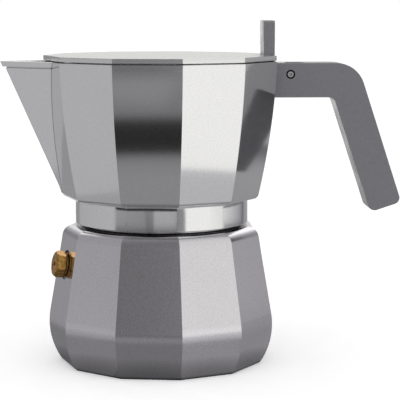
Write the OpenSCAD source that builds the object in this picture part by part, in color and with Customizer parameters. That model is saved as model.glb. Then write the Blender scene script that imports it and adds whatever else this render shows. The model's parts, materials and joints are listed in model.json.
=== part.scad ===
// Stovetop moka pot for six small cups, eleven cast facets, built from its separate pieces.
// Frame: origin on the pot's axis at the plane it stands on, +X towards the handle, +Z up.
// The spout runs down one corner of the casting and the handle stands on the facet opposite.

/* [Boiler] */
// Corner radius of the boiler at the plane it stands on
boiler_base_r = 50.9; // [49.9:0.1:51.5]
// Height of the widest line of the boiler, where the straight wall starts
boiler_bend_z = 26; // [24:0.5:28]
// Lean of the boiler's straight wall
boiler_lean = 9.8; // [9:0.1:10.5]
// Height of the boiler's shoulder
boiler_h = 69.4; // [69:0.1:69.6]
// Thickness of the cast walls
wall = 3.2; // [2.8:0.1:3.6]

/* [Neck and collar] */
// Radius of the boiler's neck at the root of its thread
neck_r = 38.8; // [38.6:0.1:38.9]
// Outer radius of the round collar
collar_r = 43.7; // [43.2:0.1:44]
// Height of the collar's lower edge
collar_z = 70.3; // [70.1:0.1:70.8]
// Rise of the collector for each turn
thread_pitch = 3.2; // [3:0.1:3.4]

/* [Collector and lid] */
// Corner radius of the collector at its foot
foot_r = 50; // [49.4:0.1:50.4]
// Corner radius of the collector at its rim
rim_r = 59.2; // [58.8:0.1:59.8]
// Height of the rim
rim_z = 151.6; // [151:0.1:151.8]
// Distance that the spout's lip reaches from the axis
spout_reach = 80.3; // [79:0.1:81]
// Thickness of the lid
lid_t = 2.5; // [2.3:0.1:2.8]

/* [Handle and tab] */
// Width of the handle and of the lid's tab
handle_w = 19.6; // [18.6:0.1:21]
// Thickness of the grip
grip_t = 16.4; // [15:0.1:18]
// Lean of the grip from the vertical
grip_lean = 18.2; // [16:0.2:20]
// Height of the lid's tab
tab_h = 17; // [14:0.2:20]

/* [Safety valve] */
// Height of the valve on its facet
valve_z = 50.9; // [48:0.1:52]
// Corner radius of the valve's hexagon
valve_r = 6.7; // [6.4:0.1:6.9]

/* [Hidden] */
$fn = 96;
facets = 11;
step = 360 / facets;
flat = cos(step / 2);          // apothem of a corner radius of 1
far = 90;                      // beyond every wall of the pot
fit = 0.05;                    // radial clearance of pins and screws
gap = 0.3;                     // space between pieces that move past each other

// Boiler outline: foot arc, straight wall, shoulder arc
foot_arc_r = 35;
foot_arc_z = boiler_bend_z - foot_arc_r * sin(boiler_lean);
foot_turn = asin(foot_arc_z / foot_arc_r);
boiler_wide_r = boiler_base_r + foot_arc_r * (1 - cos(foot_turn));
shoulder_r = 6;
shoulder_z = boiler_h - shoulder_r;
bend_r = boiler_wide_r - foot_arc_r * (1 - cos(boiler_lean));
function straight_r(z) = bend_r - (z - boiler_bend_z) * tan(boiler_lean);

// Neck, thread and seats
neck_top = boiler_h + 10;
neck_bore_r = neck_r - 3.6;
thread_h = 1;
thread_gap = 0.4;
collar_bore_r = neck_r + thread_h + thread_gap;
thread_z = boiler_h + 2.1;
flange_z = neck_top + gap;
flange_t = 1.2;
gasket_z = flange_z + flange_t + gap;
gasket_t = 3.5;
seat_z = gasket_z + gasket_t;
gasket_r = 37.2;
floor_z = seat_z + 3.8;

// Collector outline: one shallow arc from the foot to the rim
crease_z = collar_z + 14.7;
under_slope = 20;
foot_fillet = 3;
bulge = 1.5;
chord = norm([rim_r - foot_r, rim_z - crease_z]);
side_arc_r = chord * chord / (8 * bulge) + bulge / 2;
side_mid = [(rim_r + foot_r) / 2, (rim_z + crease_z) / 2];
side_tilt = atan2(rim_r - foot_r, rim_z - crease_z);
side_c = side_mid - (side_arc_r - bulge) * [cos(side_tilt), -sin(side_tilt)];
side_half = asin(chord / 2 / side_arc_r);
side_pts = arc(side_c, side_arc_r, -side_half - side_tilt, side_half - side_tilt, 10);

// Spout: a wedge whose keel leans outwards
keel_foot = foot_r + 2.6;
keel_foot_z = crease_z + 4.5;
keel_top = spout_reach - 0.5;
keel_lean = atan2(keel_top - keel_foot, rim_z - keel_foot_z);
spout_half = 35;
lip_t = 2.3;
lip_out = 0.5;

// Coffee column, pressed into the collector's floor
column_z = floor_z + 4;
column_top = rim_z - 20;
spigot_r = 10.2;

// Hinge and handle
lid_z = rim_z + 0.5;
pin_x = 64.1;
pin_z = rim_z - 6.6;
pin_r = 1.5;
bush_r = 2.2;
arm_top = rim_z - 1;
arm_t = 17.1;
arm_bottom = arm_top - arm_t;
bar_z = arm_bottom + 4.1;
bar_t = 3;
bar_w = 10.2;
lug_w = 5.6;
boss_x = 77;
pocket_end = 82;
slot_end = 71.4;
corner_x = 97.5;
grip_len = 73.5;
grip_dir = [sin(grip_lean), -cos(grip_lean)];
grip_in = [-cos(grip_lean), -sin(grip_lean)];
tab_x = 50.5;
tab_t = 5.6;
tab_screw_y = 6;

// Safety valve, along its own axis
valve_turn = 180 + step / 2;

function arc(c, r, a0, a1, n) = [
    for (i = [0:n])
        let (a = a0 + (a1 - a0) * i / n)
        c + r * [cos(a), sin(a)]
];
function unit(v) = v / norm(v);

// Points of an outline [x, y, corner radius] with every corner turned into an arc
function rounded(pts) = [
    for (i = [0:len(pts) - 1])
        let (n = len(pts),
             p = [pts[i].x, pts[i].y],
             a = unit([pts[(i + n - 1) % n].x, pts[(i + n - 1) % n].y] - p),
             b = unit([pts[(i + 1) % n].x, pts[(i + 1) % n].y] - p),
             half = acos(a * b) / 2,
             r = pts[i].z,
             c = p + unit(a + b) * r / sin(half),
             s = p + a * r / tan(half) - c,
             e = p + b * r / tan(half) - c,
             a0 = atan2(s.y, s.x),
             d = (atan2(e.y, e.x) - a0 + 540) % 360 - 180)
        if (r == 0) p
        else for (k = [0:8]) c + r * [cos(a0 + d * k / 8), sin(a0 + d * k / 8)]
];

// Solid with eleven flat sides: profile is [corner radius, height], read from the foot up
module faceted(profile) {
    side = [for (p = profile) [p.x * flat, p.y]];
    last = len(side) - 1;
    outline = concat([[-far, side[0].y]], side, [[-far, side[last].y]]);
    intersection_for (i = [0:facets - 1])
        rotate([90, 0, i * step])
            linear_extrude(height = 2 * far, center = true)
                polygon(outline);
}

// Prism under the spout's keel, its ridge moved in by inset and rounded by ridge_r
module keel_prism(inset, ridge_r) {
    half = atan(tan(spout_half) / cos(keel_lean));
    start = (inset + ridge_r) / sin(half);
    back = 31;
    back_half = (back - inset / sin(half)) * tan(half);
    translate([-keel_foot, 0, keel_foot_z])
        rotate([0, -keel_lean, 0])
            translate([0, 0, -20])
                linear_extrude(height = 110)
                    polygon(concat(arc([start, 0], ridge_r, 90 + half, 270 - half, 6),
                                   [[back, -back_half], [back, back_half]]));
}

module slab(z0, z1) {
    translate([-far, -far, z0]) cube([2 * far, 2 * far, z1 - z0]);
}

// Frame of the safety valve: origin on the facet, +Z out of the pot
module at_valve() {
    rotate(valve_turn)
        translate([straight_r(valve_z) * flat, 0, valve_z])
            rotate([0, 90 - boiler_lean, 0])
                children();
}

// Helical ridge from radius root to radius crest, rising one pitch for each turn
module thread(root, crest, z0, turns) {
    n = 48;
    out = crest > root ? 1 : -1;
    section = [[root - 0.2 * out, -0.95 * out], [crest, -0.35 * out],
               [crest, 0.35 * out], [root - 0.2 * out, 0.95 * out]];
    last = round(n * turns);
    points = [for (i = [0:last], p = section)
        [p.x * cos(i * 360 / n), p.x * sin(i * 360 / n), z0 + p.y + i * thread_pitch / n]];
    sides = [for (i = [0:last - 1], k = [0:3])
        let (a = 4 * i + k, b = 4 * i + (k + 1) % 4)
        each [[a, b, a + 4], [b, b + 4, a + 4]]];
    polyhedron(points, concat([[3, 2, 1, 0]], sides, [[4 * last, 4 * last + 1, 4 * last + 2, 4 * last + 3]]));
}

module boiler_outline() {
    faceted(concat(
        arc([boiler_wide_r - foot_arc_r, foot_arc_z], foot_arc_r, -foot_turn, boiler_lean, 9),
        arc([straight_r(shoulder_z) - shoulder_r, shoulder_z], shoulder_r, boiler_lean, 90, 7)));
}

module boiler() {
    in_r = straight_r(shoulder_z) * flat - wall - 0.4;
    wide = bend_r * flat - wall - 0.4;
    base = boiler_base_r * flat - wall - 2;
    color([0.74, 0.75, 0.76])
    difference() {
        union() {
            boiler_outline();
            translate([0, 0, boiler_h - 4]) cylinder(r = neck_r, h = neck_top - boiler_h + 4);
            thread(neck_r, neck_r + thread_h, thread_z, 1.75);
            intersection() {
                at_valve() translate([0, 0, -7]) cylinder(r = 9, h = 6);
                slab(10, 66);
            }
        }
        difference() {
            rotate_extrude()
                polygon(concat([[0, 4.2]], arc([base - 4, 8.2], 4, -90, -40, 5),
                               [[wide, boiler_bend_z - 6], [wide, boiler_bend_z], [in_r, shoulder_z - 2],
                                [in_r - 4, boiler_h - 4.2], [neck_bore_r, boiler_h - 3.6],
                                [neck_bore_r, neck_top + 1], [0, neck_top + 1]]));
            at_valve() translate([0, 0, -7]) cylinder(r = 9, h = 8);
        }
        rotate_extrude()
            polygon([[35, -1], [42.5, -1], [41.5, 0.8], [36, 0.8]]);
        at_valve() translate([0, 0, -9]) cylinder(r = 5 + fit, h = 12);
        at_valve() translate([0, 0, -1]) cylinder(r = 7.4, h = 4);
    }
}

module valve_body() {
    color([0.78, 0.58, 0.26])
    at_valve()
    difference() {
        union() {
            translate([0, 0, -8]) cylinder(r = 5, h = 10);
            translate([0, 0, -0.4]) cylinder(r = valve_r - 0.8, h = 1.4);
            intersection() {
                translate([0, 0, 1.4]) rotate(14) cylinder(r = valve_r, h = 4.8, $fn = 6);
                rotate_extrude()
                    polygon([[0, 1.3], [valve_r - 0.5, 1.3], [valve_r + 0.1, 1.9], [valve_r + 0.1, 4.7],
                             [valve_r - 1, 5.8], [valve_r - 2.2, 6.15], [0, 6.15]]);
            }
        }
        translate([0, 0, -9]) cylinder(r = 1.6, h = 5);
        translate([0, 0, -4.6]) cylinder(r = 3.1, h = 12);
    }
}

module valve_washer() {
    color([0.62, 0.36, 0.24])
    at_valve()
    translate([0, 0, -1])
    difference() {
        cylinder(r = 6.4, h = 0.6);
        translate([0, 0, -1]) cylinder(r = 5 + fit, h = 3);
    }
}

module valve_poppet() {
    color([0.55, 0.56, 0.58])
    at_valve()
    union() {
        translate([0, 0, -4.3]) cylinder(r = 2.7, h = 1.2);
        translate([0, 0, -4.3]) cylinder(r = 0.95, h = 10.7);
        translate([0, 0, 6.4]) cylinder(r1 = 0.95, r2 = 0.6, h = 0.35);
    }
}

// Coil spring drawn as half turns that climb in tilted planes
module valve_spring() {
    coil_r = 1.9;
    wire_r = 0.28;
    turns = 6;
    z0 = -2.8;
    z1 = 4.9;
    rise = (z1 - z0 - 2 * wire_r) / turns / 2;
    tilt = asin(rise / 2 / coil_r);
    color([0.6, 0.6, 0.62])
    at_valve()
    for (i = [0:2 * turns - 1])
        translate([0, 0, z0 + wire_r + (i + 0.5) * rise])
            rotate([0, i % 2 == 0 ? tilt : -tilt, 0])
                rotate(i % 2 == 0 ? 0 : 180)
                    union() {
                        rotate_extrude(angle = 180, $fn = 48) translate([coil_r, 0]) circle(wire_r, $fn = 16);
                        translate([-coil_r, 0, 0]) sphere(wire_r, $fn = 16);
                    }
}

module valve_retainer() {
    color([0.72, 0.52, 0.22])
    at_valve()
    translate([0, 0, 5])
    difference() {
        cylinder(r = 3.1 - fit, h = 1);
        translate([0, 0, -1]) cylinder(r = 1, h = 3);
    }
}

module funnel_basket() {
    color([0.7, 0.71, 0.72])
    rotate_extrude()
        polygon([[5.7, 52], [33, 59], [34.4, 60.6], [34.4, flange_z], [37, flange_z],
                 [37, flange_z + flange_t], [33.6, flange_z + flange_t], [33.6, 61.2],
                 [32.4, 61.2], [32.4, 60.2], [5.7, 53.4]]);
}

module funnel_tube() {
    color([0.72, 0.73, 0.74])
    rotate_extrude()
        polygon([[4.6, 9], [5.65, 9], [5.65, 51.4], [7, 52], [7, 52.2], [5.65, 52],
                 [5.65, 53.8], [4.6, 53.8]]);
}

// Round plate with holes in rings about its axis
module perforated(r, t, rings, spacing, hole_r) {
    difference() {
        cylinder(r = r, h = t);
        translate([0, 0, -1]) cylinder(r = hole_r, h = t + 2, $fn = 24);
        for (k = [1:rings], i = [0:6 * k - 1])
            rotate(i * 60 / k)
                translate([k * spacing, 0, -1])
                    cylinder(r = hole_r, h = t + 2, $fn = 24);
    }
}

module funnel_disc() {
    color([0.66, 0.67, 0.69])
    translate([0, 0, 61.25]) perforated(33.4, 0.8, 6, 4.8, 0.8);
}

module gasket() {
    color([0.92, 0.91, 0.87])
    rotate_extrude()
        polygon([[28.6, gasket_z], [gasket_r, gasket_z], [gasket_r, seat_z], [32.8, seat_z],
                 [32.8, seat_z - 1.4], [28.6, seat_z - 1.4]]);
}

module filter_plate() {
    color([0.72, 0.73, 0.74])
    translate([0, 0, seat_z - 1.1]) perforated(32.4, 0.8, 6, 4.2, 0.7);
}

// Floor of the collector, raised round the hole that takes the column
module column_foot() {
    rotate_extrude()
        polygon([[27, seat_z], [34, seat_z], [34, floor_z], [29, floor_z], [15, column_z],
                 [spigot_r, column_z], [spigot_r, seat_z + 5], [12, seat_z + 4.6], [27, seat_z + 1]]);
}

// Tube that carries the coffee up, closed at the top, with an outlet on each side
module coffee_column() {
    color([0.8, 0.81, 0.82])
    difference() {
        rotate_extrude()
            polygon([[8.4, column_z - 2], [spigot_r - fit, column_z - 2], [spigot_r - fit, column_z],
                     [15, column_z], [7.4, column_z + 13], [6.2, column_top - 3], [4, column_top],
                     [0, column_top], [0, column_top - 3], [3.6, column_top - 4],
                     [3.6, column_z + 11], [8.4, column_z]]);
        for (side = [0, 180])
            rotate(side + 90)
                translate([0, 0, column_top - 8])
                    rotate([0, 70, 0])
                        cylinder(r = 2.4, h = 12);
    }
}

// Cast bar and two ears that carry the handle and the lid's pin
module hinge_bracket() {
    difference() {
        union() {
            translate([52, -bar_w / 2, bar_z]) cube([boss_x - 52, bar_w, bar_t]);
            translate([boss_x, 0, bar_z]) cylinder(r = bar_w / 2 - 0.5, h = 8.5);
            for (side = [-1, 1])
                translate([0, side * (bar_w / 2 - 1), 0])
                    rotate([90, 0, 0])
                        linear_extrude(height = 2, center = true)
                            union() {
                                translate([pin_x, pin_z]) circle(3.6);
                                polygon([[52, bar_z], [pin_x + 6, bar_z], [pin_x + 3.4, pin_z + 1],
                                         [pin_x - 3.4, pin_z + 1], [56.6, pin_z - 1], [52, pin_z - 1]]);
                            }
        }
        translate([pin_x, 0, pin_z]) rotate([90, 0, 0]) cylinder(r = pin_r + fit, h = 40, center = true);
        translate([boss_x, 0, bar_z - 1]) cylinder(r = 2 + fit, h = 8);
    }
}

module collector_outside() {
    under_r = neck_r + 4.3;
    foot_turn_in = -side_half - side_tilt;
    fillet_c = side_pts[0] - foot_fillet * [cos(foot_turn_in), sin(foot_turn_in)];
    fillet = arc(fillet_c, foot_fillet, under_slope - 90, foot_turn_in, 5);
    faceted(concat([[under_r, fillet[0].y - (fillet[0].x - under_r) * tan(under_slope)]], fillet,
                   [for (i = [1:10]) side_pts[i]]));
    rotate_extrude()
        polygon(concat([[neck_r, collar_z]], arc([collar_r - 0.5, collar_z + 0.5], 0.5, -90, 0, 3),
                       [[collar_r, crease_z], [neck_r, crease_z]]));
    translate([0, 0, crease_z - 3]) cylinder(r = 42, h = floor_z - crease_z + 1);
}

module collector() {
    inner = [for (p = side_pts) if (p.y > floor_z + 5) [p.x - wall / flat, p.y]];
    color([0.8, 0.81, 0.82])
    difference() {
        union() {
            difference() {
                union() {
                    collector_outside();
                    intersection() {
                        keel_prism(0, 1);
                        slab(crease_z + 0.6, rim_z);
                    }
                    translate([-lip_out, 0, 0])
                        intersection() {
                            keel_prism(-0.4, 1);
                            slab(rim_z - lip_t, rim_z);
                        }
                }
                faceted(concat([[inner[0].x - 5, floor_z], [inner[0].x - 1.6, floor_z + 1.4]], inner,
                               [[rim_r - wall / flat, rim_z + 1]]));
                intersection() {
                    keel_prism(2.6, 1.6);
                    slab(floor_z + 6, rim_z + 1);
                }
            }
            column_foot();
            difference() {
                hinge_bracket();
                slab(rim_z - 2, rim_z + 20);
                intersection() {
                    faceted([[inner[0].x, floor_z], [rim_r - wall / flat, rim_z + 1]]);
                    slab(bar_z - 5, rim_z + 1);
                }
            }
        }
        difference() {
            translate([0, 0, collar_z - 1]) cylinder(r = collar_bore_r, h = gasket_z - collar_z + 1);
            thread(collar_bore_r, collar_bore_r - thread_h, thread_z + thread_pitch / 2, 1.5);
        }
        translate([0, 0, collar_z]) cylinder(r = gasket_r + fit, h = seat_z - collar_z);
        translate([0, 0, collar_z]) cylinder(r = 27, h = seat_z - collar_z + 1);
        translate([0, 0, collar_z]) cylinder(r = spigot_r, h = 40);
        translate([0, 0, seat_z + 1]) cylinder(r1 = 27, r2 = 12, h = 3.6);
        translate([48, -lug_w / 2 - gap, pin_z - 2.6]) cube([14, lug_w + 2 * gap, 20]);
        translate([pin_x, 0, pin_z]) rotate([90, 0, 0]) cylinder(r = pin_r + fit, h = 12, center = true);
    }
}

module lid() {
    corner = rim_r - 0.4;
    color([0.86, 0.86, 0.87])
    difference() {
        union() {
            faceted([[corner - 0.4, lid_z], [corner, lid_z + 0.4], [corner, lid_z + lid_t - 0.5],
                     [corner - 0.5, lid_z + lid_t]]);
            rotate_extrude()
                polygon([[47.6, lid_z + 1], [47.6, lid_z - 1.8], [49.4, lid_z - 1.8], [49.4, lid_z + 1]]);
            rotate([90, 0, 0])
                linear_extrude(height = lug_w, center = true)
                    union() {
                        translate([pin_x, pin_z]) circle(3.6);
                        polygon([[52.4, lid_z + 1], [52.4, pin_z + 1.6], [pin_x - 1.4, pin_z - 3.2],
                                 [pin_x + 2.2, pin_z + 2.8], [pin_x - 2, rim_z - 1], [57, rim_z - 1],
                                 [57, lid_z], [56, lid_z + 1]]);
                    }
        }
        translate([0, 0, lid_z - 0.1]) cylinder(r = 46, h = 0.8);
        translate([pin_x, 0, pin_z]) rotate([90, 0, 0]) cylinder(r = pin_r + fit, h = 12, center = true);
        for (side = [-1, 1])
            translate([tab_x + tab_t / 2, side * tab_screw_y, 0]) {
                translate([0, 0, lid_z - 1]) cylinder(r = 1.5 + fit, h = 6);
                translate([0, 0, lid_z - 0.1]) cylinder(r1 = 2.9, r2 = 1.5, h = 1.6);
            }
    }
}

module lid_tab() {
    h = tab_h;
    color([0.42, 0.43, 0.45])
    translate([tab_x, -handle_w / 2, lid_z + lid_t])
    difference() {
        rotate([90, 0, 90])
            linear_extrude(height = tab_t)
                polygon(rounded([[0, 0, 0], [handle_w, 0, 0], [handle_w, h, 1.6], [0, h, 1.6]]));
        for (side = [-1, 1])
            translate([tab_t / 2, handle_w / 2 + side * tab_screw_y, -1])
                cylinder(r = 1.5 + fit, h = 9);
    }
}

module lid_tab_screws() {
    color([0.7, 0.71, 0.73])
    for (side = [-1, 1])
        translate([tab_x + tab_t / 2, side * tab_screw_y, lid_z + 0.05])
            difference() {
                union() {
                    cylinder(r1 = 2.75, r2 = 1.45, h = 1.45);
                    cylinder(r = 1.5, h = 9.5);
                }
                translate([-0.35, -4, -0.1]) cube([0.7, 8, 0.7]);
            }
}

module handle() {
    corner = [corner_x, arm_top];
    end = corner + grip_dir * grip_len;
    tip = end + grip_in * grip_t;
    inner_x = tip.x - (arm_bottom - tip.y) * tan(grip_lean);
    color([0.42, 0.43, 0.45])
    difference() {
        rotate([90, 0, 0])
            linear_extrude(height = handle_w, center = true)
                polygon(rounded([[52, arm_bottom, 0], [inner_x, arm_bottom, 3.5], [tip.x, tip.y, 3.3],
                                 [end.x, end.y, 3.3], [corner.x, corner.y, 14.5], [52, arm_top, 0]]));
        faceted([for (i = [0:10]) side_pts[i] + [0.1, 0] + (i == 10 ? [0, 2] : [0, 0])]);
        translate([50, -bar_w / 2 - fit, bar_z - fit]) cube([pocket_end - 50, bar_w + 2 * fit, 8.8]);
        translate([50, -bar_w / 2 - fit, bar_z]) cube([slot_end - 50, bar_w + 2 * fit, 20]);
        translate([pin_x, 0, pin_z]) rotate([90, 0, 0]) {
            cylinder(r = pin_r + fit, h = 40, center = true);
            for (side = [-1, 1])
                translate([0, 0, side * handle_w / 2]) cylinder(r = bush_r + fit, h = 3, center = true);
        }
        translate([boss_x, 0, arm_bottom - 1]) cylinder(r = 2 + 4 * fit, h = 8);
        translate([boss_x, 0, arm_bottom - 1]) cylinder(r = 4.3, h = 3.5);
    }
}

module hinge_pin() {
    socket = 0.75;
    color([0.75, 0.76, 0.78])
    translate([pin_x, 0, pin_z])
    rotate([90, 0, 0])
    difference() {
        cylinder(r = pin_r, h = handle_w - 0.4, center = true);
        for (side = [-1, 1])
            translate([0, 0, side * (handle_w / 2 - 0.2)])
                cylinder(r = socket, h = 1.6, center = true, $fn = 6);
    }
}

module hinge_bushes() {
    color([0.07, 0.07, 0.08])
    translate([pin_x, 0, pin_z])
    rotate([90, 0, 0])
    for (side = [-1, 1])
        translate([0, 0, side * (handle_w / 2 - 0.8)])
            difference() {
                cylinder(r = bush_r, h = 1.3, center = true);
                cylinder(r = pin_r + fit, h = 3, center = true);
            }
}

module handle_screw() {
    color([0.7, 0.71, 0.73])
    translate([boss_x, 0, arm_bottom])
    difference() {
        union() {
            rotate_extrude()
                polygon([[0, 0.1], [3, 0.1], [3.7, 0.9], [3.7, 2], [0, 2]]);
            cylinder(r = 2, h = 9.5);
        }
        translate([-0.5, -5, -0.1]) cube([1, 10, 1.2]);
    }
}

module handle_washer() {
    color([0.72, 0.73, 0.75])
    translate([boss_x, 0, arm_bottom + 2])
    difference() {
        cylinder(r = 4, h = 0.5);
        translate([0, 0, -1]) cylinder(r = 2 + 2 * fit, h = 3);
    }
}

boiler();
valve_body();
valve_washer();
valve_poppet();
valve_spring();
valve_retainer();
funnel_basket();
funnel_tube();
funnel_disc();
gasket();
filter_plate();
collector();
coffee_column();
lid();
lid_tab();
lid_tab_screws();
handle();
hinge_pin();
hinge_bushes();
handle_screw();
handle_washer();
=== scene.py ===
# Looks of a stovetop moka pot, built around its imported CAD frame.
# Outlines are worked out in millimetres, on the pot's axis, and become metres when a mesh is made.
import cmath
import json
import math

import bmesh
import bpy
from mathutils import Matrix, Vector


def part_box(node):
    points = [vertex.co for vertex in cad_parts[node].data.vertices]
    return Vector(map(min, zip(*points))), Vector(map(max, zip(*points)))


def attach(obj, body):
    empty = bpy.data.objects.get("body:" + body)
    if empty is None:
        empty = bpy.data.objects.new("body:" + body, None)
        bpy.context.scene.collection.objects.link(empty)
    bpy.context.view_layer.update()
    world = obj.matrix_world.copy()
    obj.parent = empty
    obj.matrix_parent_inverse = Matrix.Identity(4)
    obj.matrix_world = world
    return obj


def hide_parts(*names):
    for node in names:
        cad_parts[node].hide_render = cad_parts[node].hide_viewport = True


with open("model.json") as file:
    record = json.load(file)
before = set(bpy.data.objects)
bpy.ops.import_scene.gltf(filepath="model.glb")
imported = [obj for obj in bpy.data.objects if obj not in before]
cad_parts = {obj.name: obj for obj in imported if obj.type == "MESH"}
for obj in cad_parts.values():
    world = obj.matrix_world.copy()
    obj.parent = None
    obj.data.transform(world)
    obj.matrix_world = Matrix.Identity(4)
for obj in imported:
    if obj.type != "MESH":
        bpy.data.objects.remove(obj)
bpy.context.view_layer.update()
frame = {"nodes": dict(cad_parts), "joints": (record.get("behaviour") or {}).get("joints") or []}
NODES = frame["nodes"]
JOINTS = {joint["name"]: joint for joint in frame["joints"]}
MM = 0.001


def low(node):
    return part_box(node)[0] / MM


def high(node):
    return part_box(node)[1] / MM


# ---------------------------------------------------------------- sizes
# An eleven-sided outline's radius is to its corners.
FACETS = 11
STEP = math.tau / FACETS
FLAT = math.cos(STEP / 2)            # apothem of a corner radius of 1
REACH_Y = math.cos(STEP / 4)         # how far a corner radius of 1 reaches along Y
SHARP = 32                           # an edge that turns more, in degrees, isn't shaded smooth
THREAD_PITCH = 3.2
PIN = Vector(JOINTS["lid_hinge"]["pos_m"]) / MM
PIN_BOSS = 3.6                       # radius of the metal round the pin

# boiler
BASE_R = 50.9
LEAN = math.radians(9.8)             # of the straight wall
BEND_Z = 26.0                        # the wall curves below this height and is straight above it
FOOT_ARC = 35.0
FOOT_Z = BEND_Z - FOOT_ARC * math.sin(LEAN)
FOOT_TURN = math.asin(FOOT_Z / FOOT_ARC)
WIDE_R = BASE_R + FOOT_ARC * (1 - math.cos(FOOT_TURN))
NECK_R = 38.8
MOUTH_R = NECK_R - 3.6
NECK_TOP = high("boiler").z
SHOULDER_Z = NECK_TOP - 10
SHOULDER_ARC = 6.0
CHAMBER_R = 50.8
CHAMBER_FLOOR = 4.2
VALVE_Z = 50.9
VALVE_SEAT_R = 7.4

# collector
WALL = 3.2
LID_T = 2.5
LID_Z = high("lid").z - LID_T
RIM_Z = LID_Z - 0.5
RIM_R = high("collector").y / REACH_Y
COLLAR_Z = low("collector").z + 0.7
COLLAR_R = 43.7
COLLAR_BORE = 40.2
CREASE_Z = COLLAR_Z + 14.5           # the sides start here, over the slanting underside
FOOT_R = 50.0
FOOT_FILLET = 3.0
UNDER_SLOPE = 12
BULGE = 1.5                          # how far the sides stand out from straight, halfway up
FLOOR_Z = 88.5
SEAT_Z = high("gasket").z
SEAT_R = 37.25
COLUMN_HOLE = 10.25
SPOUT_HALF = math.radians(35)        # half of the wedge's angle
SPOUT_TIP = -low("collector").x
SPOUT_WALL = 2.6
LIP_Z = RIM_Z - 2.8
LIP_OUT = 0.5 + 0.4 / math.sin(SPOUT_HALF)

# lid
LID_R = high("lid").y / REACH_Y
LID_CROWN = 0.3


# ---------------------------------------------------------------- camera
def camera():
    """Looks at the pot's side from slightly above, with a long lens."""
    data = bpy.data.cameras.new("camera")
    data.lens = 143.2
    eye = bpy.data.objects.new("camera", data)
    eye.location = (-0.0224, -0.7987, 0.1812)
    eye.rotation_euler = (math.radians(82.87), 0, math.radians(-3.0))
    bpy.context.scene.collection.objects.link(eye)
    bpy.context.scene.camera = eye
    bpy.context.scene.view_settings.view_transform = "Standard"


# ---------------------------------------------------------------- node trees
class Tree:
    """Short calls for building a node tree."""

    def __init__(self, owner):
        owner.use_nodes = True
        self.tree = owner.node_tree
        self.tree.nodes.clear()

    def add(self, kind, inputs=None, **settings):
        node = self.tree.nodes.new(kind)
        for name, value in settings.items():
            setattr(node, name, value)
        for name, value in (inputs or {}).items():
            if isinstance(value, bpy.types.NodeSocket):
                self.tree.links.new(value, node.inputs[name])
            else:
                node.inputs[name].default_value = value
        return node

    def math(self, operation, a, b=0.0, c=0.0):
        return self.add("ShaderNodeMath", {0: a, 1: b, 2: c}, operation=operation).outputs[0]

    def ramp(self, value, stops, interpolation="EASE"):
        node = self.add("ShaderNodeValToRGB", {0: value})
        node.color_ramp.interpolation = interpolation
        elements = node.color_ramp.elements
        elements.remove(elements[1])
        for k, (place, shade) in enumerate(stops):
            stop = elements[0] if k == 0 else elements.new(place)
            stop.position = place
            stop.color = (*shade, 1)
        return node.outputs[0]

    def blend(self, share, a, b):
        node = self.add("ShaderNodeMix", {0: share, 6: a, 7: b}, data_type="RGBA")
        return node.outputs[2]

    def step(self, value, start, end, out=(0.0, 1.0)):
        """out[0] before start, out[1] after end, smooth in between."""
        node = self.add("ShaderNodeMapRange", {"Value": value, "From Min": start, "From Max": end,
                                               "To Min": out[0], "To Max": out[1]},
                        interpolation_type="SMOOTHSTEP")
        return node.outputs[0]

    def noise(self, place, scale, detail=2.0, stretch=(1, 1, 1)):
        spread = self.add("ShaderNodeVectorMath", {0: place, 1: stretch}, operation="MULTIPLY")
        return self.add("ShaderNodeTexNoise", {"Vector": spread.outputs[0], "Scale": scale,
                                               "Detail": detail}).outputs[0]


# ---------------------------------------------------------------- studio
# Azimuths are in degrees: 0 is towards the camera, and +90 is +X, where the handle is.
WHITE = (1, 1, 1, 1)
BLACK = (0, 0, 0, 1)
BACK_WALL = (0.64, 0.64, 0.63, 1)
GLOW = (1.5, 1.5, 1.49, 1)
SIDE_LIGHT = (1.45, 1.45, 1.46, 1)
TOP_LIGHT = (0.95, 0.95, 0.96, 1)
GROUND_LIGHT = (0.36, 0.36, 0.37, 1)
PINHOLE = 0.0001                     # a ring on the ground has at least this inner radius, in metres

# brightness of the walls, by azimuth
WALLS = ((-180, 1.7), (-168, 1.4), (-160, 0.31), (-144, 0.29), (-138, 0.42), (-67, 0.47), (-63, 0.33),
         (-24, 0.29), (-18, 0.16), (-14, 0.16), (-11, 0.43), (12, 0.43), (16, 0.25), (28, 0.25),
         (31, 0.95), (62, 0.94), (87, 0.77), (102, 0.585), (111, 0.49), (121, 0.39), (128, 0.3),
         (133, 0.2), (137, 0.16), (140, 0.33), (158, 0.36), (168, 1.4), (180, 1.7))

# cards near the pot: azimuths of the two ends, brightness
UNDER_POT = 0.052
SHADE_ENDS = 0.068
NEAR_REACH = 0.12
NEAR_CARDS = ((-180, -76, 0.2), (-76, -31, 0.23), (-31, 10, 0.18), (10, 45, 0.29), (45, 180, 0.27))

# cards further out: azimuths of the two ends, then (metres from the pot's axis, brightness) outwards
FAR_CARDS = (
    (-180, -110, ((NEAR_REACH, 0.2), (0.15, 0.3), (0.27, 0.3))),
    (-110, -62, ((NEAR_REACH, 0.23), (0.15, 0.36), (0.235, 0.36))),
    (-62, 18, ((NEAR_REACH, 0.18), (0.15, 0.26), (0.24, 0.265), (0.285, 0.24), (0.304, 0.16),
               (0.318, 0.022), (0.448, 0.026), (0.5, 0.19), (0.51, 0.2))),
    (-19, -13, ((0.51, 0.2), (0.65, 0.26), (0.9, 0.27))),
    (18, 88, ((NEAR_REACH, 0.3), (0.15, 0.5), (0.275, 0.5))),
    (88, 130, ((NEAR_REACH, 0.27), (0.15, 0.3), (0.36, 0.33), (0.4, 0.32), (0.43, 0.27), (0.46, 0.19),
               (0.49, 0.13), (0.52, 0.14))),
    (130, 180, ((NEAR_REACH, 0.27), (0.15, 0.3), (0.27, 0.3))),
)


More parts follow.
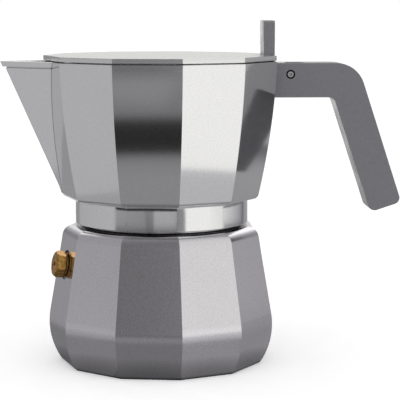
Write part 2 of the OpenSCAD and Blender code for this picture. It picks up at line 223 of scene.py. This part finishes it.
def studio_light():
    """One light for reflections, a softer one for matt surfaces, and plain white for the camera."""
    world = bpy.data.worlds.new("studio")
    world.cycles.sampling_method = "NONE"
    bpy.context.scene.world = world
    t = Tree(world)
    ray = t.add("ShaderNodeSeparateXYZ", {0: t.add("ShaderNodeTexCoord").outputs["Generated"]}).outputs
    path = t.add("ShaderNodeLightPath")
    light = t.blend(path.outputs["Is Diffuse Ray"], mirrored_light(t, ray), soft_light(t, ray))
    seen = t.blend(path.outputs["Is Camera Ray"], light, WHITE)
    t.add("ShaderNodeOutputWorld", {0: t.add("ShaderNodeBackground", {0: seen}).outputs[0]})


def mirrored_light(t, ray):
    """Walls that differ by azimuth and dim upwards, a pale back wall, and a glow high up behind."""
    around = t.math("ARCTAN2", ray[0], t.math("MULTIPLY", ray[1], -1))
    turn = t.math("MULTIPLY_ADD", around, 1 / math.tau, 0.5)
    wall = t.ramp(turn, [(azimuth / 360 + 0.5, tinted(v)) for azimuth, v in WALLS], "LINEAR")
    lift = t.math("MULTIPLY", t.math("ARCSINE", ray[2]), 180 / math.pi)
    high_wall = t.blend(t.step(lift, -6, 8, (0, 0.25)), wall, BLACK)
    aside = t.math("ABSOLUTE", around)
    off_level = t.math("ADD", t.step(lift, -1, 1.5), t.step(lift, -12, -5, (1, 0)))
    back = t.math("MULTIPLY", t.step(aside, 2.8, 2.95), off_level)
    low_back = t.blend(back, high_wall, BACK_WALL)
    band = t.math("MULTIPLY", t.step(lift, 9, 38), t.step(lift, 46, 58, (1, 0.1)))
    return t.blend(t.math("MULTIPLY", t.step(aside, 2.0, 2.6), band), low_back, GLOW)


def soft_light(t, ray):
    """Light from the camera's side and from above, with a dimmer ground."""
    front = t.step(ray[1], -0.75, 0.1, (1.0, 0.15))
    sides = t.blend(front, BLACK, SIDE_LIGHT)
    overhead = t.blend(t.step(ray[2], 0.2, 0.8), sides, TOP_LIGHT)
    return t.blend(t.step(ray[2], -0.1, 0.1), GROUND_LIGHT, overhead)


def tinted(v):
    """Dim walls are a touch violet and bright ones a touch warm."""
    return (v, v * 0.985, v * 1.02) if v < 0.7 else (v, v * 0.995, v * 0.98)


def ground_ring(name, inner, outer, z, start=0, end=360):
    """A flat ring on the ground, or a sector of one, in metres and by azimuth."""
    steps = 64
    angles = [math.radians(start + (end - start) * k / steps) for k in range(steps + 1)]
    points = [(r * math.sin(a), -r * math.cos(a), z) for r in (inner, outer) for a in angles]
    faces = [(k, k + 1, steps + 2 + k, steps + 1 + k) for k in range(steps)]
    mesh = bpy.data.meshes.new(name)
    mesh.from_pydata(points, [], faces)
    piece = bpy.data.objects.new(name, mesh)
    bpy.context.scene.collection.objects.link(piece)
    return piece


def studio_floor():
    floor = ground_ring("studio_floor", PINHOLE, 6, 0)
    floor.visible_glossy = floor.visible_diffuse = False
    paint = bpy.data.materials.new("floor_paint")
    t = Tree(paint)
    place = t.add("ShaderNodeTexCoord").outputs["Object"]
    shade = t.ramp(t.noise(place, 60, 3), [(0.3, (0.90, 0.90, 0.90)), (0.7, (0.93, 0.93, 0.93))])
    body = t.add("ShaderNodeBsdfPrincipled", {"Base Color": shade, "Roughness": 0.9,
                                              "Specular IOR Level": 0.1,
                                              "Emission Color": (1, 1, 1, 1), "Emission Strength": 0.3})
    t.add("ShaderNodeOutputMaterial", {0: body.outputs[0]})
    floor.data.materials.append(paint)


def reflector(start, end, tones):
    """A sector of card on the ground that only shows in the metal: tones are (radius, brightness)."""
    reach = tones[-1][0]
    card = ground_ring("card", max(tones[0][0], PINHOLE), reach, -0.0005, start, end)
    card.visible_camera = card.visible_diffuse = card.visible_shadow = False
    paint = bpy.data.materials.new("card")
    t = Tree(paint)
    away = t.add("ShaderNodeVectorMath", {0: t.add("ShaderNodeTexCoord").outputs["Object"]},
                 operation="LENGTH").outputs["Value"]
    shade = t.ramp(t.math("DIVIDE", away, reach), [(r / reach, tinted(v)) for r, v in tones], "LINEAR")
    t.add("ShaderNodeOutputMaterial", {0: t.add("ShaderNodeEmission", {0: shade}).outputs[0]})
    card.data.materials.append(paint)


def ground_cards():
    """Half dark where the pot stands, and full brightness past its shade."""
    for start, end, tone in NEAR_CARDS:
        reflector(start, end, [(0, tone / 2), (UNDER_POT, tone / 2), (SHADE_ENDS, tone),
                               (NEAR_REACH, tone)])
    for start, end, tones in FAR_CARDS:
        reflector(start, end, tones)


# ---------------------------------------------------------------- materials
SKIN_DEPTH = 0.0001                  # of every bump, in metres


def painted_crevice_shade(t, reach, dark):
    """Painted shade: 1 on open surfaces, down to dark in seams and gaps, by how enclosed they are."""
    open_sky = t.add("ShaderNodeAmbientOcclusion", {"Distance": reach}, samples=8).outputs["AO"]
    return t.step(open_sky, 0.12, 0.58, (dark, 1.0))


def darkened(t, colour, share):
    mix = t.add("ShaderNodeMix", {0: 1.0, 6: colour, 7: share}, data_type="RGBA", blend_type="MULTIPLY")
    return mix.outputs[2]


def speckle(t, value, shade, spread):
    """A colour that runs from darker to lighter than shade as value rises."""
    dark = tuple(c * (1 - spread) for c in shade)
    light = tuple(min(1, c * (1 + spread)) for c in shade)
    return t.ramp(value, [(0.3, dark), (0.7, light)], "LINEAR")


def surface(t, colour, metallic, gloss, height, strength):
    bump = t.add("ShaderNodeBump", {"Height": height, "Strength": strength, "Distance": SKIN_DEPTH})
    body = t.add("ShaderNodeBsdfPrincipled", {"Base Color": colour, "Metallic": metallic,
                                              "Roughness": gloss, "Normal": bump.outputs[0]})
    t.add("ShaderNodeOutputMaterial", {0: body.outputs[0]})


def aluminium(name, shade, rough, grain, stretch=(1, 1, 1), streak=0.05, relief=0.04):
    """Metal with a fine directional grain: stretch is small along the brushing."""
    paint = bpy.data.materials.new(name)
    t = Tree(paint)
    place = t.add("ShaderNodeTexCoord").outputs["Object"]
    fine = t.noise(place, grain, 3, stretch)
    broad = t.noise(place, 45, 2)
    tone = t.math("ADD", t.math("MULTIPLY", fine, 0.85), t.math("MULTIPLY", broad, 0.15))
    # painted shade: the colour darkens in seams and gaps, where shade falls
    colour = darkened(t, speckle(t, tone, shade, streak), painted_crevice_shade(t, 0.0035, 0.05))
    gloss = t.step(fine, 0.3, 0.7, (rough * 0.95, rough * 1.1))
    surface(t, colour, 1.0, gloss, fine, relief)
    return paint


def plain(name, shade, rough, metallic=0.0, grain=3000, relief=0.15, spread=0.06, gap_shade_reach=0.0):
    """A solid colour with fine speckle, uneven gloss and a sandy surface.

    Where gap_shade_reach is given, shade is painted into the colour in gaps that are narrower than that,
    in metres.
    """
    paint = bpy.data.materials.new(name)
    t = Tree(paint)
    place = t.add("ShaderNodeTexCoord").outputs["Object"]
    fine = t.noise(place, grain, 2)
    colour = speckle(t, fine, shade, spread)
    # painted shade in narrow gaps
    if gap_shade_reach:
        colour = darkened(t, colour, painted_crevice_shade(t, gap_shade_reach, 0.12))
    gloss = t.step(t.noise(place, 90, 3), 0.3, 0.7, (rough - 0.05, rough + 0.05))
    surface(t, colour, metallic, gloss, fine, relief)
    return paint


# ---------------------------------------------------------------- outlines
# An outline is a list of complex numbers, x + iy.
def between(a, b, count):
    return [a + (b - a) * (k + 1) / (count + 1) for k in range(count)]


def corner(radius, angle, edge):
    """A rounded corner of the eleven-sided outline."""
    centre = cmath.rect(radius - edge / FLAT, angle)
    return [centre + cmath.rect(edge, angle + STEP * (k / 3 - 0.5)) for k in range(4)]


def filled(groups, count):
    """The groups of points in turn, with count more points along each straight between them."""
    points = []
    for here, after in zip(groups, groups[1:]):
        points += here + between(here[-1], after[0], count)
    return points + groups[-1]


def eleven(radius, edge=0.5):
    """The eleven-sided outline, with a facet's middle on +X."""
    groups = [corner(radius, STEP * (k + 0.5), edge) for k in range(FACETS)]
    return filled(groups + groups[:1], 6)[:-len(groups[0])]


def spouted(radius, keel, edge=0.5, ridge=1.0, groove=0.9):
    """The same outline with the spout's wedge, whose keel is on -X, in place of that corner."""
    groups = [[complex(radius * FLAT, 0)]] + [corner(radius, STEP * (k + 0.5), edge) for k in range(5)]
    # the wedge's side meets the last facet in a groove
    wedge = math.tan(SPOUT_HALF)
    facet = 1 / math.tan(STEP / 2)
    x = (radius * facet - keel * wedge) / (wedge - facet)
    meet = complex(x, wedge * (x + keel))
    side = abs(meet + keel)
    full = 0.35
    fillet = min(full, 0.2 * side)
    inwards = -cmath.rect(groove * fillet / full, math.radians(144))
    along = cmath.rect(fillet, math.pi / 2 - STEP / 2)
    out = cmath.rect(fillet, math.pi + SPOUT_HALF)
    groups.append([meet + along, meet + inwards, meet + out])
    # the keel's ridge is rounded
    ridge = min(ridge, 0.4 * side)
    centre = complex(ridge / math.sin(SPOUT_HALF) - keel, 0)
    first = math.pi / 2 + SPOUT_HALF
    groups.append([centre + cmath.rect(ridge, first + (math.pi - first) * k / 3) for k in range(4)])
    half = filled(groups, 6)
    return half + [p.conjugate() for p in reversed(half[1:-1])]


def round_like(outline, radius):
    """A circle with one point for each point of outline, in the same directions."""
    return [cmath.rect(radius, cmath.phase(p)) for p in outline]


def arc(centre, radius, start, end, steps):
    """Points of an arc as (r, z), by angles in degrees."""
    angles = [math.radians(start + (end - start) * k / steps) for k in range(steps + 1)]
    return [(centre[0] + radius * math.cos(a), centre[1] + radius * math.sin(a)) for a in angles]


# ---------------------------------------------------------------- meshes
def at(outline, z):
    return [(p.real, p.imag, z) for p in outline]


def round_at(outline, profile):
    """A round ring for each (r, z) of profile, with one point for each point of outline."""
    return [at(round_like(outline, r), z) for r, z in profile]


def pole(z):
    return [(0, 0, z)]


def finish_mesh(name, points, faces):
    mesh = bpy.data.meshes.new(name)
    mesh.from_pydata([Vector(p) * MM for p in points], [], faces)
    work = bmesh.new()
    work.from_mesh(mesh)
    bmesh.ops.remove_doubles(work, verts=work.verts, dist=2e-6)
    bmesh.ops.recalc_face_normals(work, faces=work.faces)
    work.to_mesh(mesh)
    work.free()
    piece = bpy.data.objects.new(name, mesh)
    bpy.context.scene.collection.objects.link(piece)
    shade(piece)
    return piece


def even_shading(piece):
    piece.data.polygons.foreach_set("use_smooth", [True] * len(piece.data.polygons))
    even = piece.modifiers.new("normals", "WEIGHTED_NORMAL")
    even.keep_sharp = True


def shade(piece):
    """Replaces the piece's modifiers by smooth shading that keeps its sharp edges."""
    piece.modifiers.clear()
    even_shading(piece)
    piece.data.set_sharp_from_angle(angle=math.radians(SHARP))


def skin(name, rings):
    """A closed surface through rings of points, from pole to pole."""
    points, faces, starts = [], [], []
    for ring in rings:
        starts.append(len(points))
        points += ring
    for k in range(len(rings) - 1):
        a, b = starts[k], starts[k + 1]
        m, n = len(rings[k]), len(rings[k + 1])
        size = max(m, n)
        for i in range(size):
            j = (i + 1) % size
            if m == 1:
                faces.append((a, b + i, b + j))
            elif n == 1:
                faces.append((a + i, b, a + j))
            else:
                faces.append((a + i, b + i, b + j, a + j))
    return finish_mesh(name, points, faces)


def solid_plate(name, outline, y0, y1, edge=0.3):
    """An outline of (x, z) points made solid from y0 to y1, with its edges rounded."""
    n = len(outline)
    points = [(x, y, z) for y in (y0, y1) for x, z in outline]
    faces = [tuple(range(n)), tuple(reversed(range(n, 2 * n)))]
    faces += [(k, (k + 1) % n, n + (k + 1) % n, n + k) for k in range(n)]
    piece = finish_mesh(name, points, faces)
    round_edges(piece, edge)
    return piece


def round_edges(piece, edge):
    """Rounds every edge that turns more than 30 degrees, in the mesh itself."""
    work = bmesh.new()
    work.from_mesh(piece.data)
    sharp = [e for e in work.edges if e.calc_face_angle(0) > math.radians(30)]
    bmesh.ops.bevel(work, geom=sharp, offset=edge * MM, segments=3, profile=0.5, affect="EDGES",
                    clamp_overlap=True)
    work.to_mesh(piece.data)
    work.free()
    shade(piece)


def drum(name, radius, length):
    """A cylinder along Z, used to cut holes."""
    steps = 48
    circle = [cmath.rect(radius, math.tau * k / steps) for k in range(steps)]
    return skin(name, [pole(0), at(circle, 0), at(circle, length), pole(length)])


def cut_out(piece, tool):
    """Cuts the tool out of piece and removes it."""
    piece.modifiers.clear()
    tool.modifiers.clear()
    change = piece.modifiers.new("cut", "BOOLEAN")
    change.operation = "DIFFERENCE"
    change.object = tool
    change.solver = "EXACT"
    bpy.context.view_layer.update()
    graph = bpy.context.evaluated_depsgraph_get()
    mesh = bpy.data.meshes.new_from_object(piece.evaluated_get(graph))
    mesh.name = piece.name
    piece.data = mesh
    bpy.data.objects.remove(tool)
    shade(piece)


def thread(name, root, crest, z0, turns):
    """A helical ridge from radius root to crest, that fades in and out at its ends."""
    per_turn, fading = 72, 8
    half_root, half_crest = 1.0, 0.35
    buried = root - 0.3 * math.copysign(1, crest - root)
    last = round(per_turn * turns)
    points, faces = [], []
    for k in range(last + 1):
        angle = math.tau * k / per_turn
        z = z0 + THREAD_PITCH * k / per_turn
        tip = root + (crest - root) * min(1, k / fading, (last - k) / fading)
        for r, dz in [(buried, -half_root), (tip, -half_crest), (tip, half_crest), (buried, half_root)]:
            points.append((r * math.cos(angle), r * math.sin(angle), z + dz))
    for k in range(last):
        for i in range(4):
            a, b = 4 * k + i, 4 * k + (i + 1) % 4
            faces.append((a, b, b + 4, a + 4))
    faces += [(0, 1, 2, 3), tuple(4 * last + i for i in (3, 2, 1, 0))]
    return finish_mesh(name, points, faces)


# ---------------------------------------------------------------- boiler
def straight_r(z):
    """Corner radius of the boiler's straight wall at height z."""
    return WIDE_R - FOOT_ARC * (1 - math.cos(LEAN)) - (z - BEND_Z) * math.tan(LEAN)


def boiler_wall():
    """Profile of the outside, from the ground to the shoulder."""
    lean = math.degrees(LEAN)
    arc_z = SHOULDER_Z - SHOULDER_ARC
    foot = arc((WIDE_R - FOOT_ARC, FOOT_Z), FOOT_ARC, -math.degrees(FOOT_TURN), lean, 16)
    foot[0] = (BASE_R + 0.1, 0.35)
    straight = [(straight_r(z), z) for z in (34, 42, 50, 57)]
    return foot + straight + arc((straight_r(arc_z) - SHOULDER_ARC, arc_z), SHOULDER_ARC, lean, 90, 10)


def neck():
    """Profile from the shoulder, up the neck and over its rim."""
    return [(NECK_R + 0.6, SHOULDER_Z), (NECK_R + 0.2, SHOULDER_Z + 0.2), (NECK_R, SHOULDER_Z + 0.6),
            (NECK_R, NECK_TOP - 0.7), (NECK_R - 0.2, NECK_TOP - 0.2), (NECK_R - 0.7, NECK_TOP),
            (MOUTH_R + 0.5, NECK_TOP), (MOUTH_R + 0.1, NECK_TOP - 0.3), (MOUTH_R, NECK_TOP - 0.8)]


def chamber():
    """Profile from the mouth, down the inside of the boiler to its floor."""
    roof_z = NECK_TOP - 14
    corner_r = 4
    sides = [(MOUTH_R, roof_z + 0.8), (MOUTH_R + 1.6, roof_z), (MOUTH_R + 5, roof_z - 0.2),
             (MOUTH_R + 7.8, roof_z - 1.5), (MOUTH_R + 9.4, roof_z - 4),
             (CHAMBER_R - 0.2, BEND_Z + 1), (CHAMBER_R, BEND_Z - 3), (CHAMBER_R - 0.4, BEND_Z - 6)]
    return sides + arc((39.6, CHAMBER_FLOOR + corner_r), corner_r, -40, -90, 5)


def valve_frame():
    """Turn and place of the safety valve: origin on the boiler's facet, +Z out along the valve."""
    axis = Vector(JOINTS["valve_lift"]["axis"])
    flat = straight_r(VALVE_Z) * FLAT
    around = math.atan2(axis.y, axis.x)
    origin = Vector((flat * math.cos(around), flat * math.sin(around), VALVE_Z)) * MM
    return axis.to_track_quat("Z", "Y"), origin


def cut_valve_seat(shell):
    """Mills a flat round seat for the valve, 1 mm into the facet."""
    turn, origin = valve_frame()
    seat = drum("valve_seat", VALVE_SEAT_R, 9)
    seat.rotation_mode = "QUATERNION"
    seat.rotation_quaternion = turn
    seat.location = origin - turn @ Vector((0, 0, MM))
    cut_out(shell, seat)


def boiler():
    base = eleven(BASE_R - 0.4)
    ring_groove = [(36, 0), (36.2, 0.8), (41.4, 0.8), (42.2, 0)]
    rings = [pole(0)] + round_at(base, ring_groove) + [at(base, 0)]
    rings += [at(eleven(r), z) for r, z in boiler_wall()]
    rings += round_at(base, neck() + chamber()) + [pole(CHAMBER_FLOOR)]
    shell = skin("boiler_shell", rings)
    cut_valve_seat(shell)
    return [shell, thread("boiler_thread", NECK_R, NECK_R + 1, SHOULDER_Z + 2.1, 1.75)]


# ---------------------------------------------------------------- collector
def side_r(z):
    """Corner radius of the collector's bulging side at height z."""
    share = (z - CREASE_Z) / (RIM_Z - CREASE_Z)
    return FOOT_R + (RIM_R - FOOT_R) * share + 4 * BULGE * share * (1 - share)


def keel_r(z):
    """Reach of the spout's keel at height z, before its ridge is rounded."""
    foot, foot_z, top = FOOT_R + 2.6, CREASE_Z + 4.0, SPOUT_TIP - 0.5
    return max(side_r(z), foot + (top - foot) * (z - foot_z) / (RIM_Z - foot_z))


def inner_keel_r(z):
    return keel_r(z) - SPOUT_WALL / math.sin(SPOUT_HALF)


def hollow(radius, keel):
    """The outline of the collector's inside, with softer corners than the outside has."""
    return spouted(radius, keel, 2, 1.6, -0.3)


def collector_inside(outline):
    """Rings from the column's hole across the floor and up the inside of the wall."""
    floor = [(COLUMN_HOLE, 4), (14.6, 4), (15.3, 3.9), (22, 2), (28, 0.3), (31, 0)]
    rings = round_at(outline, [(r, FLOOR_Z + lift) for r, lift in floor])
    wall_foot, wall_top = FLOOR_Z + 6, RIM_Z - 0.4
    deep = side_r(wall_foot) - WALL / FLAT
    for inset, lift in ((7, 0), (4.2, 0.3), (2, 1.5), (0.6, 3.4)):
        rings.append(at(spouted(deep - inset, deep - inset, 3), FLOOR_Z + lift))
    steps = 12
    for k in range(steps + 1):
        z = wall_foot + (wall_top - wall_foot) * k / steps
        radius = side_r(z) - WALL / FLAT
        rings.append(at(hollow(radius, max(radius, inner_keel_r(z))), z))
    return rings


def collector_rim():
    """Rings over the rim, from the inside out to the spout's lip."""
    radius, keel = RIM_R - WALL / FLAT, inner_keel_r(RIM_Z)
    lip = keel_r(RIM_Z) + LIP_OUT
    return [at(hollow(radius + 0.12, keel + 0.12), RIM_Z - 0.1),
            at(hollow(radius + 0.4, keel + 0.5), RIM_Z),
            at(spouted(RIM_R - 0.3, lip - 0.4), RIM_Z),
            at(spouted(RIM_R - 0.08, lip - 0.1), RIM_Z - 0.1)]


def collector_outside():
    """Rings down the outside, with a ledge and a narrow groove under the spout's lip."""
    groove_end = LIP_Z - 0.65
    lip = [(RIM_Z - 0.3, LIP_OUT), (LIP_Z + 0.3, LIP_OUT), (LIP_Z + 0.08, LIP_OUT - 0.1),
           (LIP_Z, LIP_OUT - 0.4), (LIP_Z, 0.1), (LIP_Z - 0.08, -0.75), (LIP_Z - 0.5, -0.75),
           (groove_end, 0.0)]
    rings = [at(spouted(side_r(z), keel_r(z) + extra), z) for z, extra in lip]
    steps = 18
    for k in range(1, steps + 1):
        z = groove_end + (CREASE_Z - groove_end) * k / steps
        rings.append(at(spouted(side_r(z), keel_r(z)), z))
    return rings


def collector_underside(outline):
    """Rings from the crease inwards, until the slanting facets meet the round collar along a wavy line."""
    side_lean = math.atan((RIM_R - FOOT_R + 4 * BULGE) / (RIM_Z - CREASE_Z))
    centre = (FOOT_R - FOOT_FILLET * math.cos(side_lean), CREASE_Z + FOOT_FILLET * math.sin(side_lean))
    fillet = arc(centre, FOOT_FILLET, -math.degrees(side_lean), UNDER_SLOPE - 90, 6)
    rings = [at(spouted(r, r), z) for r, z in fillet[1:]]
    end_r, end_z = fillet[-1]
    slope = math.tan(math.radians(UNDER_SLOPE))
    meeting = []
    for p in round_like(outline, COLLAR_R + 0.15):
        off = (cmath.phase(p) + STEP / 2) % STEP - STEP / 2
        reach = abs(p) * math.cos(off) / FLAT
        meeting.append((p.real, p.imag, end_z - (end_r - reach) * slope))
    inwards = 0.9965
    return rings + [meeting, [(x * inwards, y * inwards, z - 0.25) for x, y, z in meeting]]


def collar(outline):
    """Rings down the collar, up its threaded bore, and over the gasket's seat to the column's hole."""
    edge = 0.35
    profile = [(COLLAR_R, 80.5), (COLLAR_R, 76.5)]
    profile += arc((COLLAR_R - edge, COLLAR_Z + edge), edge, 0, -90, 3)
    profile += [(COLLAR_BORE + 0.8, COLLAR_Z), (COLLAR_BORE + 0.2, COLLAR_Z + 0.3),
                (COLLAR_BORE, COLLAR_Z + 1), (COLLAR_BORE, SEAT_Z - 3.5), (SEAT_R, SEAT_Z - 3.5),
                (SEAT_R, SEAT_Z), (27, SEAT_Z), (27, SEAT_Z + 1), (12, SEAT_Z + 4.6),
                (COLUMN_HOLE, SEAT_Z + 5)]
    return round_at(outline, profile)


def collector():
    outline = spouted(RIM_R, keel_r(RIM_Z))
    rings = collector_inside(outline) + collector_rim() + collector_outside()
    rings += collector_underside(outline) + collar(outline)
    rings.append(rings[0])
    shell = skin("collector_shell", rings)
    low_z, high_z = PIN.z - 2.6, PIN.z + 17
    slot = [(48, low_z), (62, low_z), (62, high_z), (48, high_z)]
    cut_out(shell, solid_plate("lug_slot", slot, -3.1, 3.1, 0.05))
    ridge = thread("collector_thread", COLLAR_BORE, COLLAR_BORE - 1, SHOULDER_Z + 3.7, 1.5)
    return [shell, ridge] + bracket()


def boss(start, end, step):
    """Points (x, z) round the hinge pin, by angles in degrees."""
    angles = [math.radians(angle) for angle in range(start, end + 1, step)]
    return [(PIN.x + PIN_BOSS * math.cos(a), PIN.z + PIN_BOSS * math.sin(a)) for a in angles]


def bracket():
    """The bar under the hinge and the two ears that hold the pin."""
    bar_z, width, ear_t = PIN.z - 7.4, 10.2, 2
    bar = solid_plate("hinge_bar", [(53, bar_z), (77, bar_z), (77, bar_z + 3), (53, bar_z + 3)],
                      -width / 2, width / 2, 0.4)
    ear = [(53, bar_z + 1), (PIN.x + 6, bar_z + 1)]
    ear += boss(-12, 156, 12)
    ear += [(57, PIN.z - 1), (53, PIN.z - 1)]
    ears = [solid_plate(f"hinge_ear_{k}", ear, side * (width / 2 - ear_t), side * width / 2, 0.3)
            for k, side in enumerate((-1, 1))]
    return [bar] + ears


# ---------------------------------------------------------------- lid
def lid():
    rim = eleven(LID_R)
    crown = [(r, LID_Z + LID_T + LID_CROWN * (1 - (r / 52) ** 2)) for r in (12, 24, 36, 46)]
    edge = [(4, LID_T - 0.02), (0.25, LID_T - 0.1), (0.07, LID_T - 0.17), (0, LID_T - 0.35), (0, 0.25),
            (0.07, 0.07), (0.25, 0)]
    locating_ring = [(49.6, 0), (49.4, -0.2), (49.4, -1.5), (49.1, -1.8), (47.9, -1.8), (47.6, -1.5),
                     (47.6, 0), (46, 0), (46, 0.7)]
    rings = [pole(LID_Z + LID_T + LID_CROWN)] + round_at(rim, crown)
    rings += [at(eleven(LID_R - inset), LID_Z + z) for inset, z in edge]
    rings += round_at(rim, [(r, LID_Z + z) for r, z in locating_ring]) + [pole(LID_Z + 0.7)]
    lug = [(52.4, LID_Z + 1), (52.4, PIN.z + 1.6), (PIN.x - 1.4, PIN.z - 3.2)]
    lug += boss(-100, 80, 15)
    lug += [(PIN.x - 2, RIM_Z - 1), (57, RIM_Z - 1), (57, LID_Z), (56, LID_Z + 1)]
    return [skin("lid_plate", rings), solid_plate("lid_lug", lug, -2.8, 2.8, 0.3)]


# ---------------------------------------------------------------- CAD nodes that stay
def dress(name, paint, edge=0.1):
    """Gives a CAD node its material, rounded edges and even shading, by modifiers alone."""
    node = NODES[name]
    node.data.materials.clear()
    node.data.materials.append(paint)
    weld = node.modifiers.new("weld", "WELD")
    weld.merge_threshold = 1e-6
    flat = node.modifiers.new("dissolve", "DECIMATE")
    flat.decimate_type = "DISSOLVE"
    flat.angle_limit = math.radians(0.3)
    if edge:
        bevel = node.modifiers.new("bevel", "BEVEL")
        bevel.width = edge * MM
        bevel.segments = 3
        bevel.limit_method = "ANGLE"
        bevel.angle_limit = math.radians(25)
    even_shading(node)


def replace(node, body, pieces, paint):
    """Shows the pieces, in this paint, in place of a CAD node."""
    for piece in pieces:
        piece.data.materials.clear()
        piece.data.materials.append(paint)
        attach(piece, body)
    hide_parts(node)


camera()
studio_light()
studio_floor()
ground_cards()

BRUSHED = aluminium("brushed_casting", (0.85, 0.835, 0.86), 0.18, 2100, (1, 1, 0.6), streak=0.075,
                    relief=0.012)
SATIN = aluminium("satin_casting", (0.87, 0.87, 0.87), 0.1, 2100, (1, 1, 0.7), streak=0.06, relief=0.004)
LID_SATIN = aluminium("lid_satin", (0.88, 0.88, 0.87), 0.24, 1700, streak=0.02, relief=0.01)
SPUN = aluminium("spun_aluminium", (0.82, 0.82, 0.83), 0.28, 1500, streak=0.04)
# the brass gets painted shade in its gaps, round the valve's flange
BRASS = plain("brass", (0.56, 0.31, 0.085), 0.28, metallic=1.0, grain=600, relief=0.2, spread=0.4,
              gap_shade_reach=0.006)
COPPER = plain("copper_washer", (0.6, 0.33, 0.2), 0.35, metallic=1.0, grain=900, relief=0.1, spread=0.15)
GREY = plain("grey_plastic", (0.2, 0.2, 0.214), 0.27, grain=1800, relief=0.12, spread=0.09)
# black rubber bushes, darkened further so that they also stand in for the shade in the pin's counterbore
BLACK_RUBBER_AND_PIN_SHADE = plain("bush_rubber", (0.002, 0.002, 0.002), 0.9)
SILICONE = plain("silicone", (0.82, 0.81, 0.76), 0.45)
STEEL = aluminium("steel", (0.68, 0.68, 0.69), 0.25, 2500, streak=0.04)

replace("boiler", "boiler", boiler(), BRUSHED)
replace("collector", "collector", collector(), SATIN)
replace("lid", "lid", lid(), LID_SATIN)

for part in ("handle", "lid_tab"):
    dress(part, GREY, 0.8)
for part in ("valve_body", "valve_retainer", "valve_poppet"):
    dress(part, BRASS, 0.15)
dress("valve_washer", COPPER)
for part in ("lid_tab_screws", "hinge_pin", "handle_screw", "handle_washer"):
    dress(part, STEEL, 0.12)
dress("valve_spring", STEEL, 0)
# the bushes' near-black colour is partly painted shade round the hinge pin
dress("hinge_bushes", BLACK_RUBBER_AND_PIN_SHADE, 0.1)
dress("gasket", SILICONE, 0.3)
dress("coffee_column", SATIN, 0.3)
for part in ("funnel_basket", "funnel_tube"):
    dress(part, SPUN, 0.2)
for part in ("funnel_disc", "filter_plate"):
    dress(part, SPUN, 0)
